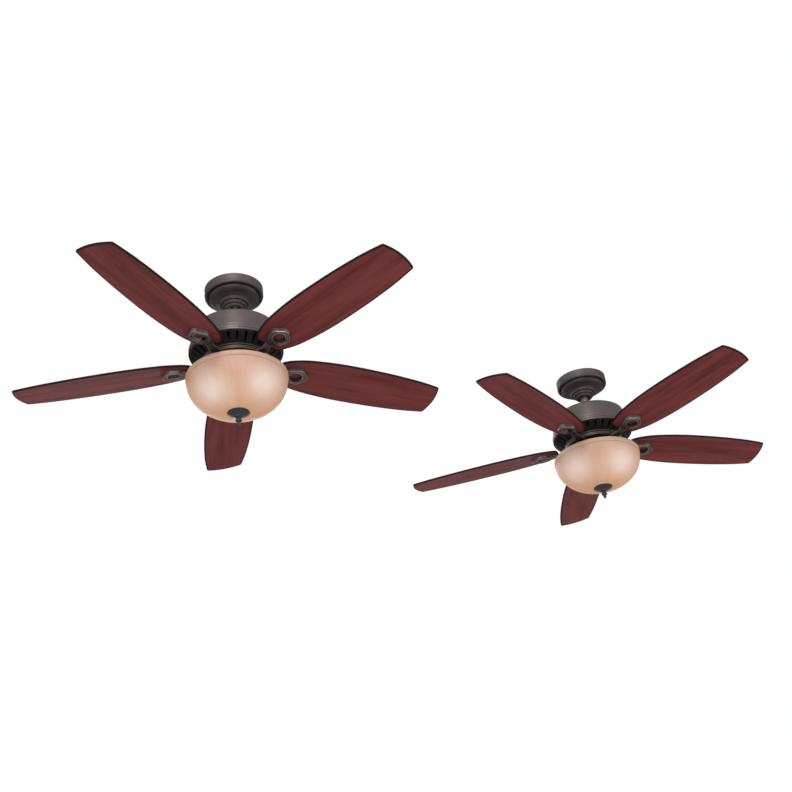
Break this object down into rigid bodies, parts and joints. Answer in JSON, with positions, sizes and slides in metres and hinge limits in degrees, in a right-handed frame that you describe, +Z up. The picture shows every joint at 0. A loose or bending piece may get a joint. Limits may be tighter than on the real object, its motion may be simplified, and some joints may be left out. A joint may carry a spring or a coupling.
{
  "type": "pair of ceiling fans",
  "caption": "Pair of ceiling fans with bowl lights, hung side by side: bronze canopy, short rod, drum motor, pitched cherry blades on looped irons, amber glass bowl.",
  "frame": {"origin": "on the ceiling plane, midway between the two fans' axes", "axes": "+Z up, out of the ceiling plates into the ceiling; +X from the left fan to the right one; +Y towards the back"},
  "size_m": [2.5824, 1.2864, 0.467],
  "materials": {
    "bronze": "dark bronze paint, satin",
    "dark_iron": "dark bronze paint on castings, satin",
    "steel": "zinc plated",
    "winding": "laminations and enamelled copper winding",
    "cherry": "dark cherry veneer, satin lacquer",
    "amber_glass": "frosted amber scavo glass, lit from inside",
    "opal_glass": "opal lamp glass",
    "holder_plastic": "moulded, matt",
    "black_plastic": "moulded, satin"
  },
  "bodies": {
    "root": {"left_hanger_bracket": "steel", "left_canopy": "bronze", "right_hanger_bracket": "steel", "right_canopy": "bronze"},
    "left_hung": {"left_hanger_ball": "black_plastic", "left_downrod": "bronze", "left_upper_housing": "bronze", "left_lower_housing": "bronze", "left_motor_shaft": "steel", "left_stator": "winding", "left_switch_housing": "bronze", "left_fitter_pan": "dark_iron", "left_lamp_holder_1": "holder_plastic", "left_lamp_holder_2": "holder_plastic", "left_bulb_1": "opal_glass", "left_bulb_2": "opal_glass", "left_centre_stem": "steel"},
    "left_rotor": {"left_motor_rotor": "bronze", "left_blade_1": "cherry", "left_blade_2": "cherry", "left_blade_3": "cherry", "left_blade_4": "cherry", "left_blade_5": "cherry", "left_blade_iron_1": "dark_iron", "left_blade_iron_2": "dark_iron", "left_blade_iron_3": "dark_iron", "left_blade_iron_4": "dark_iron", "left_blade_iron_5": "dark_iron"},
    "left_bowl": {"left_glass_bowl": "amber_glass", "left_finial_cap": "dark_iron"},
    "left_finial": {"left_finial_nut": "dark_iron"},
    "left_switch": {"left_reverse_slider": "black_plastic"},
    "right_hung": {"right_hanger_ball": "black_plastic", "right_downrod": "bronze", "right_upper_housing": "bronze", "right_lower_housing": "bronze", "right_motor_shaft": "steel", "right_stator": "winding", "right_switch_housing": "bronze", "right_fitter_pan": "dark_iron", "right_lamp_holder_1": "holder_plastic", "right_lamp_holder_2": "holder_plastic", "right_bulb_1": "opal_glass", "right_bulb_2": "opal_glass", "right_centre_stem": "steel"},
    "right_rotor": {"right_motor_rotor": "bronze", "right_blade_1": "cherry", "right_blade_2": "cherry", "right_blade_3": "cherry", "right_blade_4": "cherry", "right_blade_5": "cherry", "right_blade_iron_1": "dark_iron", "right_blade_iron_2": "dark_iron", "right_blade_iron_3": "dark_iron", "right_blade_iron_4": "dark_iron", "right_blade_iron_5": "dark_iron"},
    "right_bowl": {"right_glass_bowl": "amber_glass", "right_finial_cap": "dark_iron"},
    "right_finial": {"right_finial_nut": "dark_iron"},
    "right_switch": {"right_reverse_slider": "black_plastic"}
  },
  "joints": [
    {"name": "left_swing", "type": "hinge", "parent": "root", "child": "left_hung", "pos_m": [-0.68, 0, -0.036], "axis": [1, 0, 0], "range_deg": [-8, 8]},
    {"name": "left_spin", "type": "hinge", "parent": "left_hung", "child": "left_rotor", "pos_m": [-0.68, 0, -0.26], "axis": [0, 0, 1], "continuous": true},
    {"name": "left_bowl_drop", "type": "slide", "parent": "left_hung", "child": "left_bowl", "axis": [0, 0, -1], "range_m": [0, 0.16]},
    {"name": "left_finial_turn", "type": "hinge", "parent": "left_bowl", "child": "left_finial", "pos_m": [-0.68, 0, -0.44], "axis": [0, 0, 1], "continuous": true},
    {"name": "left_reverse_switch", "type": "slide", "parent": "left_hung", "child": "left_switch", "axis": [0, 0, 1], "range_m": [-0.002, 0.002]},
    {"name": "right_swing", "type": "hinge", "parent": "root", "child": "right_hung", "pos_m": [0.68, 0, -0.036], "axis": [1, 0, 0], "range_deg": [-8, 8]},
    {"name": "right_spin", "type": "hinge", "parent": "right_hung", "child": "right_rotor", "pos_m": [0.68, 0, -0.26], "axis": [0, 0, 1], "continuous": true},
    {"name": "right_bowl_drop", "type": "slide", "parent": "right_hung", "child": "right_bowl", "axis": [0, 0, -1], "range_m": [0, 0.16]},
    {"name": "right_finial_turn", "type": "hinge", "parent": "right_bowl", "child": "right_finial", "pos_m": [0.68, 0, -0.44], "axis": [0, 0, 1], "continuous": true},
    {"name": "right_reverse_switch", "type": "slide", "parent": "right_hung", "child": "right_switch", "axis": [0, 0, 1], "range_m": [-0.002, 0.002]}
  ]
}
